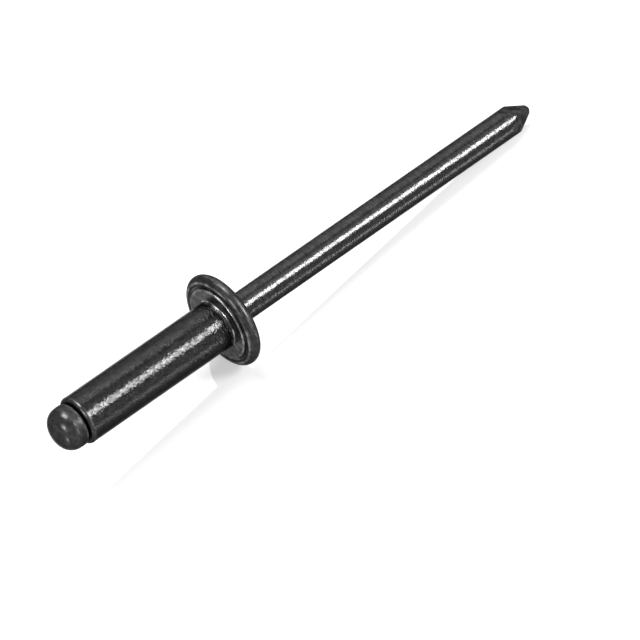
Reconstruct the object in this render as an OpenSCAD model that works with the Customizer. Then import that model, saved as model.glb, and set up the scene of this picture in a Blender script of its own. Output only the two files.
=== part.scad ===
// Open-end blind rivet with a domed flange, lying on the rim of its flange and on its point.
// Each piece is a half section turned about Z, drawn upright: the seat under the flange is at
// z = 0, the mandrel's point is up and the sleeve is down. Both are then laid over together.

/* [Rivet body] */
// Outer diameter of the sleeve, which fills the drilled hole
sleeve_d = 3.2; // [2.9:0.05:3.6]
// Length of the sleeve from the seat under the flange to its tail
sleeve_len = 11.3; // [7:0.1:20]
// Diameter of the flange
flange_d = 6.3; // [6:0.1:7.5]
// Thickness of the flange's fully rounded rim
rim_t = 0.84; // [0.7:0.02:1]
// Radius of the dome that runs from the rim to the bore
dome_crown = 9.6; // [7:0.1:15]
// Diameter of the flat seat that bears on the sheet
seat_d = 4.84; // [4.2:0.02:5]
// Height by which the seat stands proud of the rim
seat_step = 0.1; // [0.04:0.01:0.14]
// Depth of the groove between the seat and the rim
groove_depth = 0.2; // [0.15:0.01:0.3]
// Rounding of the seat's outer edge
seat_round = 0.08; // [0.04:0.01:0.09]
// Fillet at the root of the sleeve, under the flange
root_fillet = 0.08; // [0.04:0.01:0.15]
// Rounding of the tail's outer edge
tail_round = 0.22; // [0.15:0.01:0.35]
// Rounding where the bore opens through the dome
lip_round = 0.12; // [0.08:0.01:0.16]
// Length of the tail's mouth that is crimped round the mandrel
crimp_len = 0.6; // [0.3:0.05:1]
// Length of the taper from the bore down to the crimped mouth
crimp_taper = 0.35; // [0.2:0.05:0.6]

/* [Mandrel] */
// Diameter of the mandrel's shank
mandrel_d = 1.92; // [1.7:0.01:2.1]
// Length of the mandrel beyond the domed top, which the tool grips
projection = 24.5; // [18:0.1:30]
// Diameter of the mandrel's head
head_d = 2.84; // [2.7:0.02:3]
// Height of the straight side of the head, with its rounded lower edge
head_side = 0.57; // [0.5:0.01:1]
// Radius of the head's rounded shoulder
head_shoulder = 0.95; // [0.8:0.01:1.15]
// Radius of the head's slightly flattened crown
head_crown = 2.2; // [1.8:0.1:4]
// Rounding of the head's lower edge
head_under_round = 0.26; // [0.15:0.01:0.3]
// Taper under the head, where it blends into the shank
head_neck = 0.12; // [0.08:0.01:0.15]
// Distance of the breaking notch from the tail
notch_from_tail = 1.8; // [1.4:0.1:3]
// Diameter left at the bottom of the breaking notch
notch_d = 1.5; // [1.3:0.05:1.6]
// Slope of the breaking notch's sides against the mandrel's cross section
notch_slope = 50; // [40:1:60]

/* [Point] */
// Slope of the four pinched facets against the mandrel's axis
facet_slope = 21; // [16:0.1:30]
// Width across the flats at the blunt end
blunt_w = 0.4; // [0.3:0.02:0.6]
// Radius of the blunt end
blunt_round = 0.7; // [0.5:0.01:0.8]

/* [Fits] */
// Radial clearance of the mandrel in the bore
bore_clearance = 0.1; // [0.05:0.01:0.15]
// Radial clearance of the mandrel in the crimped mouth
crimp_clearance = 0.01; // [0.01:0.01:0.03]
// Gap between the tail and the flat under the mandrel's head
head_gap = 0.1; // [0.08:0.01:0.3]

/* [Finish] */
// Colour of the coated rivet body
body_colour = "#26272a"; // ["#26272a", "#3a3b3f", "#9a9da1"]
// Colour of the coated mandrel
mandrel_colour = "#2d2e32"; // ["#2d2e32", "#3a3b3f", "#9a9da1"]

/* [Hidden] */
turned_fn = 144;
// Turn of the rivet body's seam about the axis, so that the seam isn't what it lies on
seam_turn = 3.6;
// How far a cutting shape runs past the surface that it cuts
past = 1;
// A hair by which a round closes over the end of an arc or a line that runs into it
hair = 0.0001;

sleeve_r = sleeve_d/2;
seat_r = seat_d/2;
mandrel_r = mandrel_d/2;
head_r = head_d/2;
notch_r = notch_d/2;
bore_r = mandrel_r + bore_clearance;
mouth_r = mandrel_r + crimp_clearance;

// The rim is one full round, given by its centre in the half section, as [radius, height]
rim_round = rim_t/2;
rim_c = [flange_d/2 - rim_round, seat_step + rim_round];

// The lip's round lies inside the dome's arc and beside the bore
dome_c_z = crown_centre_z(rim_c, rim_round, dome_crown);
lip_r = bore_r + lip_round;
lip_c = [lip_r, dome_c_z + sqrt((dome_crown - lip_round)^2 - lip_r^2)];
dome_top = lip_c[1] + lip_round;

// The head hangs below the tail, with its crown down
head_top = -sleeve_len - head_gap;
shoulder_c = [head_r - head_shoulder, head_side];
crown_c_z = crown_centre_z(shoulder_c, head_shoulder, head_crown);
notch_z = -sleeve_len + notch_from_tail;

tip_z = dome_top + projection;
blunt_c_z = tip_z - blunt_round;
// Angle from the axis at which the blunt end's round has left all four facets
blunt_angle = 52;

// At rest one facet faces the ground, and its shoulder and the rim touch it
shoulder_back = (mandrel_r - blunt_w/2)/tan(facet_slope);
rest_dr = rim_c[0] - mandrel_r;
rest_dz = tip_z - shoulder_back - rim_c[1];
lean = atan2(rest_dr, rest_dz) + asin(rim_round/norm([rest_dr, rest_dz]));
rest_h = rim_c[1]*sin(lean) + rim_c[0]*cos(lean) + rim_round;
// The crown and the blunt end are the two ends of the whole length
end_x = blunt_c_z*cos(lean) + blunt_round;
head_x = (head_top - crown_c_z)*cos(lean) - head_crown;

// Height of the centre of a crown arc about the axis that meets a rounded edge without a corner
function crown_centre_z(edge_c, edge_r, crown_r) = edge_c[1] - sqrt((crown_r - edge_r)^2 - edge_c[0]^2);

// A direction in the half section, counted from the axis
function from_axis(angle) = [sin(angle), cos(angle)];

// Half section of a crown: the round of its edge, and the arc from there to the axis
module crowned_half(edge_c, edge_r, crown_r) {
    centre_z = crown_centre_z(edge_c, edge_r, crown_r);
    out = edge_c + 2*crown_r*from_axis(atan2(edge_c[0], edge_c[1] - centre_z));
    translate(edge_c) circle(r = edge_r);
    intersection() {
        translate([0, centre_z]) circle(r = crown_r - hair);
        polygon([[0, edge_c[1]], edge_c, out, [0, out[1]]]);
    }
}

// Half section of a disc between two heights whose lower outer edge is rounded
module round_edged_half(r, low, high, edge_r) {
    translate([0, low]) square([r - edge_r, high - low]);
    translate([0, low + edge_r]) square([r, high - low - edge_r]);
    translate([r - edge_r, low + edge_r]) circle(r = edge_r);
}

module flange_half() {
    crowned_half(rim_c, rim_round, dome_crown);
    translate([0, groove_depth]) square([rim_c[0], rim_c[1] - groove_depth]);
    round_edged_half(seat_r, 0, rim_c[1], seat_round);
}

module sleeve_half() {
    round_edged_half(sleeve_r, -sleeve_len, rim_c[1], tail_round);
    difference() {
        translate([0, -root_fillet]) square([sleeve_r + root_fillet, root_fillet + rim_c[1]]);
        translate([sleeve_r + root_fillet, -root_fillet]) circle(r = root_fillet);
    }
}

// The bore is plain down to the tail, where the crimp narrows it on to the mandrel
module bore_half() {
    mouth_z = -sleeve_len + crimp_len;
    polygon([
        [0, -sleeve_len - past],
        [mouth_r, -sleeve_len - past],
        [mouth_r, mouth_z],
        [bore_r, mouth_z + crimp_taper],
        [bore_r, dome_top + past],
        [0, dome_top + past]
    ]);
}

// What the rounded lip takes off the corner between the bore and the dome
module lip_corner_half() {
    out = lip_c + past*from_axis(atan2(lip_c[0], lip_c[1] - dome_c_z));
    polygon([[0, lip_c[1]], lip_c, out, [0, out[1]]]);
}

module rivet_body_half() {
    difference() {
        union() {
            flange_half();
            sleeve_half();
        }
        bore_half();
        lip_corner_half();
    }
    translate(lip_c) circle(r = lip_round + hair);
}

// The shank runs from inside the head to the blunt end
module shank_half() {
    blunt_edge = [0, blunt_c_z] + blunt_round*from_axis(blunt_angle);
    reach = mandrel_r - blunt_edge[0] + past;
    intersection() {
        translate([0, head_top - head_side]) square([mandrel_r, tip_z - head_top + head_side]);
        union() {
            translate([0, blunt_c_z]) circle(r = blunt_round);
            polygon([
                [0, blunt_c_z],
                blunt_edge,
                blunt_edge + reach*[1, -tan(blunt_angle)],
                [blunt_edge[0] + reach, head_top - head_side - past],
                [0, head_top - head_side - past]
            ]);
        }
    }
}

module notch_half() {
    half_w = (mandrel_r + past - notch_r)/tan(notch_slope);
    polygon([
        [notch_r, notch_z],
        [mandrel_r + past, notch_z - half_w],
        [mandrel_r + past, notch_z + half_w]
    ]);
}

// The head is drawn with its crown up, and mirrored to hang below the tail
module head_half() {
    translate([0, head_top]) mirror([0, 1]) {
        round_edged_half(head_r, 0, head_side, head_under_round);
        intersection() {
            translate([0, head_side]) square(head_crown);
            crowned_half(shoulder_c, head_shoulder, head_crown);
        }
        polygon([
            [0, -head_neck],
            [mandrel_r, -head_neck],
            [mandrel_r + 2*head_neck, head_neck],
            [0, head_neck]
        ]);
    }
}

module mandrel_half() {
    difference() {
        shank_half();
        notch_half();
    }
    head_half();
}

// One of the four flats that the wire cutter pinches, all on the same slope
module facet_cut() {
    translate([blunt_w/2, 0, tip_z]) rotate([0, -facet_slope, 0])
        translate([0, -mandrel_d, -mandrel_d/sin(facet_slope)])
            cube([mandrel_d, 2*mandrel_d, mandrel_d/sin(facet_slope) + past]);
}

module rivet_body() {
    color(body_colour) at_rest() rotate(seam_turn)
        rotate_extrude($fn = turned_fn) rivet_body_half($fn = turned_fn);
}

module mandrel() {
    color(mandrel_colour) at_rest() difference() {
        rotate_extrude($fn = turned_fn) mandrel_half($fn = turned_fn);
        for (side = [0:3]) rotate(90*side) facet_cut();
    }
}

// Lays the upright rivet over, point towards +X, until the rim and the point touch z = 0
module at_rest() {
    translate([-(end_x + head_x)/2, 0, rest_h]) rotate([0, 90 + lean, 0]) children();
}

rivet_body();
mandrel();
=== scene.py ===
"""Black open-end blind rivet: fine turned surfaces, coated steel, studio light and camera."""
import math
from collections import namedtuple

import bmesh
import bpy
from mathutils import Matrix, Vector, noise


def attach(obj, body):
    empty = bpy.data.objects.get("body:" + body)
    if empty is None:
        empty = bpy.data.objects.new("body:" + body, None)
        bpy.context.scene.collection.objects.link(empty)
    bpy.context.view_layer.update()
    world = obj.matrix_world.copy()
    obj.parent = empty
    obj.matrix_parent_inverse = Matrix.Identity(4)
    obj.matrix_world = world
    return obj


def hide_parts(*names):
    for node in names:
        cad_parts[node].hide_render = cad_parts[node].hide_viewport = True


MM = 0.001

# Sizes in millimetres, the same as the solids have. Heights are along the rivet's own axis,
# from the seat under the flange, with the mandrel's point up.
SLEEVE_R = 1.6
SLEEVE_LEN = 11.3
FLANGE_R = 3.15
RIM_T = 0.84
DOME_CROWN = 9.6
SEAT_R = 2.42
SEAT_STEP = 0.1
GROOVE_DEPTH = 0.2
SEAT_ROUND = 0.08
ROOT_FILLET = 0.08
TAIL_ROUND = 0.22
LIP_ROUND = 0.12
CRIMP_LEN = 0.6
CRIMP_TAPER = 0.35
MANDREL_R = 0.96
PROJECTION = 24.5
HEAD_R = 1.42
HEAD_SIDE = 0.57
HEAD_SHOULDER = 0.95
HEAD_CROWN = 2.2
HEAD_UNDER_ROUND = 0.26
HEAD_NECK = 0.12
HEAD_GAP = 0.1
NOTCH_FROM_TAIL = 1.8
NOTCH_R = 0.75
NOTCH_SLOPE = 50
FACET_SLOPE = 21
BLUNT_W = 0.4
BLUNT_ROUND = 0.7
BLUNT_ANGLE = 52
BORE_CLEARANCE = 0.1
CRIMP_CLEARANCE = 0.01
BORE_R = MANDREL_R + BORE_CLEARANCE
MOUTH_R = MANDREL_R + CRIMP_CLEARANCE

# Softening of edges that the solids leave sharp, and of the ridges between the point's flats
EDGE = 0.02
RIDGE = 0.12
# The flats and the shank's last plain ring are within these distances from the tip
POINT_LEN = 3
LAST_RING = 1.1

# Segments round the axis, and the longest step along it where the coating ripples
SEGMENTS = 192
STEP = 0.09
# A point of the half section that is nearer to the axis than this is on it
ON_AXIS = 1e-6
# Edges that turn by more degrees than this are shaded sharp
SHARP_ANGLE = 38

# The coating's slow and fast ripples: their sizes in millimetres, the slow one's share, and how
# far it is moved along the axis so that the two don't coincide
SLOW_SIZE = 0.55
FAST_ROUND = 0.5
FAST_ALONG = 0.24
SLOW_SHARE = 0.65
SLOW_SHIFT = 50
# Wear patches, which on some coats break up a painted highlight or sheen instead: their size in
# millimetres, their share of the surface, and how sharply they set off
WEAR_AND_SHEEN_SIZE = 0.4
WEAR_AND_SHEEN_SHARE = 0.45
WEAR_AND_SHEEN_CONTRAST = 1.6

# Coated steel, the same all over
METALLIC = 0.93
SPECULAR = 0.25
EDGE_TINT = 0.43
# Fine patterns on it: their sizes round the axis and along it in millimetres, and their strength
CLOUDS = (0.3, 0.12)
CLOUD_CHANGE = 0.3
GLOSS_SPOTS = (0.4, 0.4)
GLOSS_CHANGE = 0.25
FLAKES = (0.2, 0.1)
BODY_FLAKE = 0.028
MANDREL_FLAKE = 0.016
# Where the noise of such a pattern mostly lies
NOISE_LOW = 0.3
NOISE_HIGH = 0.7
NOISE_DETAIL = 2

# The floor in metres, a hair under the rivet, and how it shows and mirrors
FLOOR_SIZE = 6
FLOOR_Z = -0.00001
FLOOR_TONE = 0.25
FLOOR_ROUGH = 0.05
FLOOR_SPECULAR = 0.75
FLOOR_SHOWN = 0.52
# The white surroundings, as they are seen and as they light
SKY_SHOWN = 1.0
SKY_LIGHT = 0.1

# Lamps: the direction from the rivet, the width and height in degrees, and the radiance. They
# stand at one distance, in metres.
LAMP_DISTANCE = 0.6
LAMPS = (
    ("key", (0.486, -0.700, 0.524), 12, 18, 100),
    ("fill", (0.486, -0.397, 0.779), 20, 26, 2.2),
    ("overhead", (0.501, 0.44, 0.745), 50, 42, 2.3),
    ("zenith", (0.05, 0.20, 0.975), 27, 27, 18),
    ("left", (-0.9, -0.13, 0.42), 12, 15, 38),
    ("low", (0.14, -0.985, 0.12), 10, 8, 16),
    ("back", (0.36, 0.87, 0.34), 20, 14, 3),
)

# The photograph's viewpoint, fitted to the rivet's outline. The place, lens and sensor are in
# millimetres, and what the camera clips is in metres.
CAMERA_RIGHT = (0.719360, -0.654210, -0.233517)
CAMERA_UP = (0.585477, 0.390119, 0.710650)
CAMERA_BACK = (-0.373815, -0.647933, 0.663661)
CAMERA_PLACE = (-186.7769, -324.7113, 330.4477)
CAMERA_LENS = 461.705
CAMERA_SENSOR = 36
CAMERA_CLIP = (0.01, 20)

# The marks on the vertices that the materials read; the first is the coat's paleness, painted light
# included
MARKS = ("tone_and_painted_light", "rough", "flaky")
# What the coating is like in a zone: how pale between the patches and in them (the patches are wear
# on some coats and break up painted light on others), how rough, how flaky, and the height of its
# ripple in millimetres
Coat = namedtuple("Coat", "whole worn rough flaky ripple")
BORE = Coat(0.02, 0.02, 0.3, 0, 0)
TAIL = Coat(0.025, 0.04, 0.3, 0.3, 0.001)
# Painted highlight: a paler ring round the tail's rounded edge, standing in for the light line
# there
TAIL_HIGHLIGHT = Coat(0.025, 0.08, 0.3, 0.3, 0.001)
SLEEVE = Coat(0.015, 0.018, 0.15, 1, 0.006)
# Painted highlight: a paler, partly broken line along the sleeve's root fillet
ROOT_HIGHLIGHT = Coat(0.05, 0.28, 0.22, 0.5, 0.001)
# Painted highlight: a paler ring on the seat's rounded edge
SEAT_EDGE_HIGHLIGHT = Coat(0.11, 0.22, 0.3, 0.1, 0.0005)
# Painted highlight: paler in the groove between the seat and the rim
GROOVE_HIGHLIGHT = Coat(0.05, 0.12, 0.4, 0.2, 0.0005)
# Painted sheen: the flat seat under the flange is paler
SEAT_SHEEN = Coat(0.085, 0.115, 0.27, 0.3, 0.0005)
# Painted highlight: a paler ring on the rim's lowest part
RIM_HIGHLIGHT = Coat(0.08, 0.22, 0.28, 0.15, 0.001)
FLANGE = Coat(0.025, 0.038, 0.32, 0.4, 0.0015)
CROWN = Coat(0.03, 0.038, 0.24, 0.5, 0.0015)
# Painted shade: the head's side is darker, and rougher, so that the key lamp's highlight there is
# dimmed
CROWN_SIDE_SHADE = Coat(0.017, 0.02, 0.55, 1.5, 0.0015)
# Painted light: the round under the head grows paler from its outer edge towards the flat, against
# the shade of the gap
UNDER_EDGE = Coat(0.017, 0.02, 0.55, 1, 0.0015)
UNDER_FLAT_LIGHT = Coat(0.097, 0.14, 0.55, 1, 0.0015)
SHANK = Coat(0.021, 0.025, 0.19, 1, 0.0055)
# Painted sheen: the flats of the point are paler than the shank
PINCHED_SHEEN = Coat(0.023, 0.055, 0.3, 1, 0.0025)

# Where these coats end, in millimetres. The bore's begins this far under the outer surface.
BORE_UNDER = 0.2
# The ring of painted highlight round the tail, up from its end, and what the tail's coat takes
# beyond its round
TAIL_RING = (0.1, 0.19)
TAIL_PAST = 0.02
# How far below its fillet the root's painted highlight begins
ROOT_BELOW = 0.1
# What the seat edge's painted highlight takes beyond its round on both sides, and how high it and
# the seat's painted sheen reach
EDGE_PAST = 0.01
EDGE_TOP = 0.12
SEAT_TOP = 0.001
# How far short of the rim's centre the groove's painted highlight ends, and how high it reaches
GROOVE_SHORT = 0.12
GROOVE_TOP = 0.3
# The rim's lowest ring of painted highlight: its width from the rim's centre out, and its distance
# below the centre
RIM_RING_W = 0.15
RIM_RING_BELOW = 0.3
# How far above its flat the head's coat ends, and how far below it the painted light under the head
# ends, at its palest
NECK_ABOVE = 0.3
FLAT_BELOW = 0.01
# The change from the crown's coat to the side's painted shade: its length, and its share where the
# side begins
SIDE_CHANGE = 0.2
SIDE_SHARE = 0.9
# A flat has its own coat, with its painted sheen, in full where it has taken this much off
PINCH_FULL = 0.05


def on_arc(centre, radius, start, end, step=6.0):
    """Points on an arc of the half section. Angles are in degrees from the axis, outwards."""
    count = max(2, math.ceil(abs(end - start) / step))
    angles = [math.radians(start + (end - start) * i / count) for i in range(count + 1)]
    return [(centre[0] + radius * math.sin(a), centre[1] + radius * math.cos(a)) for a in angles]


def crown_centre(edge_c, edge_r, crown_r):
    """Height of the centre of a crown that meets a rounded edge without a corner."""
    return edge_c[1] - math.sqrt((crown_r - edge_r) ** 2 - edge_c[0] ** 2)


RIM_ROUND = RIM_T / 2
RIM_C = (FLANGE_R - RIM_ROUND, SEAT_STEP + RIM_ROUND)
DOME_Z = crown_centre(RIM_C, RIM_ROUND, DOME_CROWN)
LIP_R = BORE_R + LIP_ROUND
LIP_C = (LIP_R, DOME_Z + math.sqrt((DOME_CROWN - LIP_ROUND) ** 2 - LIP_R ** 2))
DOME_TOP = LIP_C[1] + LIP_ROUND
HEAD_TOP = -SLEEVE_LEN - HEAD_GAP
CROWN_Z = crown_centre((HEAD_R - HEAD_SHOULDER, HEAD_SIDE), HEAD_SHOULDER, HEAD_CROWN)
TIP_Z = DOME_TOP + PROJECTION


def resting_place():
    """The matrix that lays the upright rivet over on its rim and its point, as the solids lie."""
    shoulder_back = (MANDREL_R - BLUNT_W / 2) / math.tan(math.radians(FACET_SLOPE))
    dr = RIM_C[0] - MANDREL_R
    dz = TIP_Z - shoulder_back - RIM_C[1]
    lean = math.atan2(dr, dz) + math.asin(RIM_ROUND / math.hypot(dr, dz))
    height = RIM_C[1] * math.sin(lean) + RIM_C[0] * math.cos(lean) + RIM_ROUND
    end_x = (TIP_Z - BLUNT_ROUND) * math.cos(lean) + BLUNT_ROUND
    head_x = (HEAD_TOP - CROWN_Z) * math.cos(lean) - HEAD_CROWN
    middle = Matrix.Translation((-(end_x + head_x) / 2, 0, height))
    return Matrix.Scale(MM, 4) @ (middle @ Matrix.Rotation(math.pi / 2 + lean, 4, "Y"))


def cut_steps(points):
    """The same line with no step longer than STEP."""
    out = [points[0]]
    for a, b in zip(points, points[1:]):
        count = max(1, math.ceil(math.dist(a, b) / STEP))
        for i in range(1, count + 1):
            out.append((a[0] + (b[0] - a[0]) * i / count, a[1] + (b[1] - a[1]) * i / count))
    return out


def body_line():
    """Half section of the rivet body, from the crimped mouth out, over the flange and down the
    bore. It is closed: its last point comes just before its first."""
    mouth_z = -SLEEVE_LEN + CRIMP_LEN
    groove_z = RIM_C[1] - GROOVE_DEPTH
    groove_in = RIM_C[0] - math.sqrt(RIM_ROUND ** 2 - groove_z ** 2)
    bead_start = 270 - math.degrees(math.asin(groove_z / RIM_ROUND))
    dome_out = math.degrees(math.atan2(RIM_C[0], RIM_C[1] - DOME_Z))
    dome_in = math.degrees(math.atan2(LIP_C[0], LIP_C[1] - DOME_Z))
    mouth_c = (MOUTH_R + EDGE, -SLEEVE_LEN + EDGE)
    tail_c = (SLEEVE_R - TAIL_ROUND, -SLEEVE_LEN + TAIL_ROUND)
    root_c = (SLEEVE_R + ROOT_FILLET, -ROOT_FILLET)
    line = on_arc(mouth_c, EDGE, 270, 180, step=30)
    line += on_arc(tail_c, TAIL_ROUND, 180, 90)
    line += on_arc(root_c, ROOT_FILLET, -90, 0, step=15)
    line += on_arc((SEAT_R - SEAT_ROUND, SEAT_ROUND), SEAT_ROUND, 180, 90, step=15)
    line += [(SEAT_R, GROOVE_DEPTH - EDGE), (SEAT_R, GROOVE_DEPTH), (groove_in, GROOVE_DEPTH)]
    line += on_arc(RIM_C, RIM_ROUND, bead_start, dome_out, step=5)
    line += on_arc((0, DOME_Z), DOME_CROWN, dome_out, dome_in, step=0.5)
    line += on_arc(LIP_C, LIP_ROUND, dome_in, -90, step=10)
    line += [(BORE_R, mouth_z + CRIMP_TAPER), (MOUTH_R, mouth_z)]
    return cut_steps(line + line[:1])[:-1]


def mandrel_line():
    """Half section of the mandrel before its flats: from the crown's middle over the head, up the
    shank with its breaking notch, and round the blunt end."""
    shoulder_c = (HEAD_R - HEAD_SHOULDER, HEAD_TOP - HEAD_SIDE)
    crown_c = (0, HEAD_TOP - CROWN_Z)
    crown_end = 180 - math.degrees(math.atan2(shoulder_c[0], crown_c[1] - shoulder_c[1]))
    under_c = (HEAD_R - HEAD_UNDER_ROUND, HEAD_TOP - HEAD_UNDER_ROUND)
    line = on_arc(crown_c, HEAD_CROWN, 180, crown_end, step=1)
    line += on_arc(shoulder_c, HEAD_SHOULDER, crown_end, 90, step=4)
    line += on_arc(under_c, HEAD_UNDER_ROUND, 90, 0, step=8)
    line += [(MANDREL_R + HEAD_NECK, HEAD_TOP), (MANDREL_R, HEAD_TOP + HEAD_NECK)]

    notch_z = -SLEEVE_LEN + NOTCH_FROM_TAIL
    half_w = (MANDREL_R - NOTCH_R) / math.tan(math.radians(NOTCH_SLOPE))
    line += [(MANDREL_R, notch_z - half_w), (NOTCH_R, notch_z), (MANDREL_R, notch_z + half_w)]
    line += [(MANDREL_R, DOME_TOP), (MANDREL_R, TIP_Z - LAST_RING)]

    blunt = on_arc((0, TIP_Z - BLUNT_ROUND), BLUNT_ROUND, BLUNT_ANGLE, 0, step=4)
    cone_len = (MANDREL_R - blunt[0][0]) * math.tan(math.radians(BLUNT_ANGLE))
    line += [(MANDREL_R, blunt[0][1] - cone_len)] + blunt
    return cut_steps(line)


def soft_least(a, b, width):
    """The smaller of two values, with the change from one to the other rounded off over a width."""
    mix = max(width - abs(a - b), 0.0) / width
    return min(a, b) - mix * mix * width / 4


def point_reach(r, z, angle):
    """How far the mandrel reaches from its axis once the four flats are pinched."""
    if z < TIP_Z - POINT_LEN:
        return r
    flat = BLUNT_W / 2 + (TIP_Z - z) * math.tan(math.radians(FACET_SLOPE))
    beside = (angle + math.pi / 4) % (math.pi / 2) - math.pi / 4
    near = flat / math.cos(beside)
    other = flat / math.cos(math.pi / 2 - abs(beside))
    return min(r, soft_least(soft_least(near, other, RIDGE), r, RIDGE / 2))


def limited(value):
    """The value where it is from 0 to 1, else the nearer of the two."""
    return min(max(value, 0), 1)


def ripple(x, y, z):
    """The coating's ripple at a spot, about -1 to 1: longer round the axis than along it."""
    slow = noise.noise(Vector((x, y, z + SLOW_SHIFT)) / SLOW_SIZE)
    fast = noise.noise(Vector((x / FAST_ROUND, y / FAST_ROUND, z / FAST_ALONG)))
    return SLOW_SHARE * slow + (1 - SLOW_SHARE) * fast


def body_coat(r, z, _cut):
    """The body's coating: flaky on the sleeve, smoother on the flange, with wear at the tail's end,
    and painted highlights round the tail, at the sleeve's root, on the seat's edge, in the groove
    and on the rim's lowest ring, with a painted sheen over the seat. The first zone that holds the
    spot counts."""
    tail_up = z + SLEEVE_LEN
    edge_in = SEAT_R - SEAT_ROUND - EDGE_PAST
    zones = (
        (BORE, r < SLEEVE_R - BORE_UNDER and z < DOME_TOP - BORE_UNDER),
        (TAIL_HIGHLIGHT, TAIL_RING[0] <= tail_up <= TAIL_RING[1]),
        (TAIL, tail_up < TAIL_ROUND + TAIL_PAST),
        (SLEEVE, z < -ROOT_FILLET - ROOT_BELOW),
        (ROOT_HIGHLIGHT, z < 0 and r < SLEEVE_R + ROOT_FILLET),
        (SEAT_EDGE_HIGHLIGHT, edge_in <= r <= SEAT_R + EDGE_PAST and z < EDGE_TOP),
        (GROOVE_HIGHLIGHT, SEAT_R - EDGE_PAST <= r <= RIM_C[0] - GROOVE_SHORT and z < GROOVE_TOP),
        (SEAT_SHEEN, abs(z) <= SEAT_TOP),
        (RIM_HIGHLIGHT, 0 <= r - RIM_C[0] <= RIM_RING_W and z < RIM_C[1] - RIM_RING_BELOW),
    )
    return next((coat for coat, holds in zones if holds), FLANGE)


def blended(first, second, part):
    """A coat between two others: the first one at 0 and the second one at 1."""
    return Coat(*(a + (b - a) * part for a, b in zip(first, second)))


def mandrel_coat(_r, z, cut):
    """The mandrel's coating: satin on the head, rougher down its side with painted shade that
    darkens it, painted light on the round under it that grows paler towards the flat, flaky on the
    shank, and smoother on the flats, which carry a painted sheen. cut is how much a flat has taken
    off."""
    if HEAD_TOP - HEAD_UNDER_ROUND <= z <= HEAD_TOP - FLAT_BELOW:
        return blended(UNDER_EDGE, UNDER_FLAT_LIGHT, (z - HEAD_TOP) / HEAD_UNDER_ROUND + 1)
    if z < HEAD_TOP + NECK_ABOVE:
        side_up = z - HEAD_TOP + HEAD_SIDE
        return blended(CROWN, CROWN_SIDE_SHADE, limited(side_up / SIDE_CHANGE + SIDE_SHARE))
    return blended(SHANK, PINCHED_SHEEN, limited(cut / PINCH_FULL))


def direction_at(line, i, closed):
    """The direction in which a line runs at one of its points."""
    before = line[i - 1] if closed or i > 0 else line[0]
    after = line[(i + 1) % len(line)] if closed or i < len(line) - 1 else line[-1]
    return Vector((after[0] - before[0], after[1] - before[1])).normalized()


def ring_at(bm, marks, r, z, along, coat_of, reach_of):
    """The vertices round the axis at a point of the half section, with the coating's ripple and
    marks. On the axis itself there is only one."""
    ring = []
    for k in range(SEGMENTS if r > ON_AXIS else 1):
        angle = 2 * math.pi * k / SEGMENTS
        reach = reach_of(r, z, angle) if reach_of else r
        coat = coat_of(r, z, r - reach)
        spot = (reach * math.cos(angle), reach * math.sin(angle), z)
        worn = limited(WEAR_AND_SHEEN_SHARE + WEAR_AND_SHEEN_CONTRAST * noise.noise(Vector(spot) / WEAR_AND_SHEEN_SIZE))
        lift = -coat.ripple * (1 + ripple(*spot))
        out, up = reach + lift * along[1], z - lift * along[0]
        vertex = bm.verts.new((out * math.cos(angle), out * math.sin(angle), up))
        # Paler in the patches; where the zone's coat is painted light, this is painted highlight,
        # sheen or shade
        tone_and_painted_light = coat.whole + (coat.worn - coat.whole) * worn
        for mark, value in zip(marks, (tone_and_painted_light, coat.rough, coat.flaky)):
            vertex[mark] = value
        ring.append(vertex)
    return ring


def bridge(bm, a, b):
    """The faces between two rings, which are triangles where one ring is a single vertex."""
    for k in range(SEGMENTS):
        n = (k + 1) % SEGMENTS
        corners = [a[k % len(a)], a[n % len(a)], b[n % len(b)], b[k % len(b)]]
        bm.faces.new([v for j, v in enumerate(corners) if v not in corners[:j]])


def turned(name, line, closed, coat_of, reach_of=None):
    """A piece turned from a half section. coat_of gives the coating at a point of the line, and
    reach_of how far the piece reaches from the axis there, at an angle round it."""
    bm = bmesh.new()
    marks = [bm.verts.layers.float.new(key) for key in MARKS]
    rings = [
        ring_at(bm, marks, r, z, direction_at(line, i, closed), coat_of, reach_of)
        for i, (r, z) in enumerate(line)
    ]
    for a, b in zip(rings, rings[1:] + rings[:1] if closed else rings[1:]):
        bridge(bm, a, b)
    bm.transform(resting_place())
    bmesh.ops.recalc_face_normals(bm, faces=bm.faces)
    mesh = bpy.data.meshes.new(name)
    bm.to_mesh(mesh)
    bm.free()
    mesh.shade_smooth()
    mesh.set_sharp_from_angle(angle=math.radians(SHARP_ANGLE))
    piece = bpy.data.objects.new(name, mesh)
    bpy.context.collection.objects.link(piece)
    return piece


def combined(tree, operation, first, second):
    """What an operation makes of two values of a material."""
    node = tree.nodes.new("ShaderNodeMath")
    node.operation = operation
    tree.links.new(first, node.inputs[0])
    tree.links.new(second, node.inputs[1])
    return node.outputs[0]


def stretched(tree, value, from_range, to_range):
    """A value of a material taken from one range to another, and kept within it."""
    node = tree.nodes.new("ShaderNodeMapRange")
    node.inputs["From Min"].default_value, node.inputs["From Max"].default_value = from_range
    node.inputs["To Min"].default_value, node.inputs["To Max"].default_value = to_range
    tree.links.new(value, node.inputs["Value"])
    return node.outputs["Result"]


def marked(tree, key):
    """A mark that the piece's vertices carry."""
    node = tree.nodes.new("ShaderNodeAttribute")
    node.attribute_name = key
    return node.outputs["Fac"]


def upright_place(tree):
    """Where a spot is on the upright rivet, in metres."""
    where = tree.nodes.new("ShaderNodeTexCoord")
    upright = tree.nodes.new("ShaderNodeMapping")
    upright.vector_type = "TEXTURE"
    upright.inputs["Rotation"].default_value = resting_place().to_euler()
    tree.links.new(where.outputs["Object"], upright.inputs["Vector"])
    return upright.outputs["Vector"]


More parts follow.
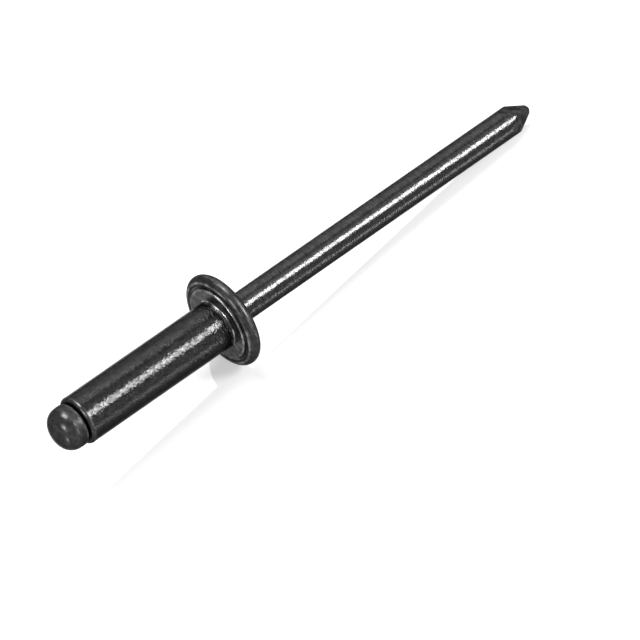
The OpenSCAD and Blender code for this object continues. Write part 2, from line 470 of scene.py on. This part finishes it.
def pattern(tree, place, size):
    """Noise with spots of a size round the axis and along it, in millimetres."""
    round_mm, along_mm = size
    fit = tree.nodes.new("ShaderNodeMapping")
    fit.inputs["Scale"].default_value = [1 / (s * MM) for s in (round_mm, round_mm, along_mm)]
    tree.links.new(place, fit.inputs["Vector"])
    spots = tree.nodes.new("ShaderNodeTexNoise")
    spots.inputs["Scale"].default_value = 1
    spots.inputs["Detail"].default_value = NOISE_DETAIL
    tree.links.new(fit.outputs["Vector"], spots.inputs["Vector"])
    return spots.outputs["Fac"]


def coating(name, flake):
    """Black coated steel with flakes of a height in millimetres. How dark it is, with the painted
    highlights, sheen and shade of some zones, and how rough and flaky, comes from the marks on the
    piece, with a change of its own from spot to spot."""
    mat = bpy.data.materials.new(name)
    mat.use_nodes = True
    tree = mat.node_tree
    shader = tree.nodes["Principled BSDF"]
    shader.inputs["Metallic"].default_value = METALLIC
    shader.inputs["Specular IOR Level"].default_value = SPECULAR
    shader.inputs["Specular Tint"].default_value = (EDGE_TINT, EDGE_TINT, EDGE_TINT, 1)
    place = upright_place(tree)

    def varied(key, size, change):
        spots = pattern(tree, place, size)
        factor = stretched(tree, spots, (NOISE_LOW, NOISE_HIGH), (1 - change, 1 + change))
        return combined(tree, "MULTIPLY", marked(tree, key), factor)

    tree.links.new(varied("tone_and_painted_light", CLOUDS, CLOUD_CHANGE), shader.inputs["Base Color"])
    tree.links.new(varied("rough", GLOSS_SPOTS, GLOSS_CHANGE), shader.inputs["Roughness"])
    bump = tree.nodes.new("ShaderNodeBump")
    bump.inputs["Distance"].default_value = flake * MM
    tree.links.new(marked(tree, "flaky"), bump.inputs["Strength"])
    tree.links.new(pattern(tree, place, FLAKES), bump.inputs["Height"])
    tree.links.new(bump.outputs["Normal"], shader.inputs["Normal"])
    return mat


def seen_directly(tree, shown, other):
    """A strength for rays from the camera and for mirrored and refracted ones, and another for
    the rest."""
    path = tree.nodes.new("ShaderNodeLightPath")
    seen = path.outputs["Is Camera Ray"]
    for ray in ("Is Glossy Ray", "Is Transmission Ray"):
        seen = combined(tree, "MAXIMUM", seen, path.outputs[ray])
    return stretched(tree, seen, (0, 1), (other, shown))


def floor():
    """A pale floor that shows white, mirrors the lamps faintly and keeps the shadow."""
    bpy.ops.mesh.primitive_plane_add(size=FLOOR_SIZE, location=(0, 0, FLOOR_Z))
    plane = bpy.context.object
    plane.name = "floor"
    mat = bpy.data.materials.new("floor_white")
    mat.use_nodes = True
    tree = mat.node_tree
    shader = tree.nodes["Principled BSDF"]
    shader.inputs["Base Color"].default_value = (FLOOR_TONE, FLOOR_TONE, FLOOR_TONE, 1)
    shader.inputs["Roughness"].default_value = FLOOR_ROUGH
    shader.inputs["Specular IOR Level"].default_value = FLOOR_SPECULAR
    shader.inputs["Emission Color"].default_value = (1, 1, 1, 1)
    tree.links.new(seen_directly(tree, FLOOR_SHOWN, 0), shader.inputs["Emission Strength"])
    plane.data.materials.append(mat)


def surroundings():
    """White all round, which lights the rivet only weakly."""
    world = bpy.data.worlds.new("studio")
    bpy.context.scene.world = world
    world.use_nodes = True
    sky = world.node_tree.nodes["Background"]
    strength = seen_directly(world.node_tree, SKY_SHOWN, SKY_LIGHT)
    world.node_tree.links.new(strength, sky.inputs["Strength"])
    sky.inputs["Color"].default_value = (1, 1, 1, 1)


def pose(spot, right, up, back):
    """The matrix that puts a lamp or camera at a spot, with its back in a direction."""
    return Matrix.Translation(spot) @ Matrix((right, up, back)).transposed().to_4x4()


def softbox(name, towards, wide, tall, radiance):
    """A lamp of that size in degrees, seen from the rivet in that direction. Its sides run as the
    rivet's axis does, and its radiance is the same all over."""
    spot = Vector(towards).normalized() * LAMP_DISTANCE
    light = bpy.data.lights.new(name, "AREA")
    light.shape = "RECTANGLE"
    light.size = 2 * LAMP_DISTANCE * math.tan(math.radians(wide / 2))
    light.size_y = 2 * LAMP_DISTANCE * math.tan(math.radians(tall / 2))
    light.energy = radiance * math.pi * light.size * light.size_y
    lamp = bpy.data.objects.new(name, light)
    axis = resting_place().to_3x3() @ Vector((0, 0, 1))
    back = spot.normalized()
    side = (axis - axis.dot(back) * back).normalized()
    lamp.matrix_world = pose(spot, side, back.cross(side), back)
    bpy.context.collection.objects.link(lamp)


def camera():
    """The photograph's viewpoint, through a long lens."""
    data = bpy.data.cameras.new("camera")
    data.sensor_width = CAMERA_SENSOR
    data.lens = CAMERA_LENS
    data.clip_start, data.clip_end = CAMERA_CLIP
    cam = bpy.data.objects.new("camera", data)
    cam.matrix_world = pose(Vector(CAMERA_PLACE) * MM, CAMERA_RIGHT, CAMERA_UP, CAMERA_BACK)
    bpy.context.collection.objects.link(cam)
    bpy.context.scene.camera = cam


def rivet():
    """Both pieces with their coatings, each in the place of its solid."""
    body = turned("rivet_body_skin", body_line(), True, body_coat)
    body.data.materials.append(coating("body_black", BODY_FLAKE))
    mandrel = turned("mandrel_skin", mandrel_line(), False, mandrel_coat, point_reach)
    mandrel.data.materials.append(coating("mandrel_black", MANDREL_FLAKE))
    for piece, node, slot in (
        (body, "rivet_body", "body_coating"),
        (mandrel, "mandrel", "mandrel_coating"),
    ):
        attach(piece, "root")
        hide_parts(node)


def studio():
    """The floor, the surroundings, the lamps and the camera."""
    bpy.context.scene.view_settings.view_transform = "Standard"
    floor()
    surroundings()
    for lamp in LAMPS:
        softbox(*lamp)
    camera()


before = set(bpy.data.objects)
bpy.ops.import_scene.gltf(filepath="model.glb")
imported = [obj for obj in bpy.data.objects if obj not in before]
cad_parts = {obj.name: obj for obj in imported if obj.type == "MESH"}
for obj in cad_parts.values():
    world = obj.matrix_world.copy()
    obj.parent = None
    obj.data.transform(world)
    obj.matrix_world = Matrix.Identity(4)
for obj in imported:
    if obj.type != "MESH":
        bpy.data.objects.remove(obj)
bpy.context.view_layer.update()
rivet()
studio()
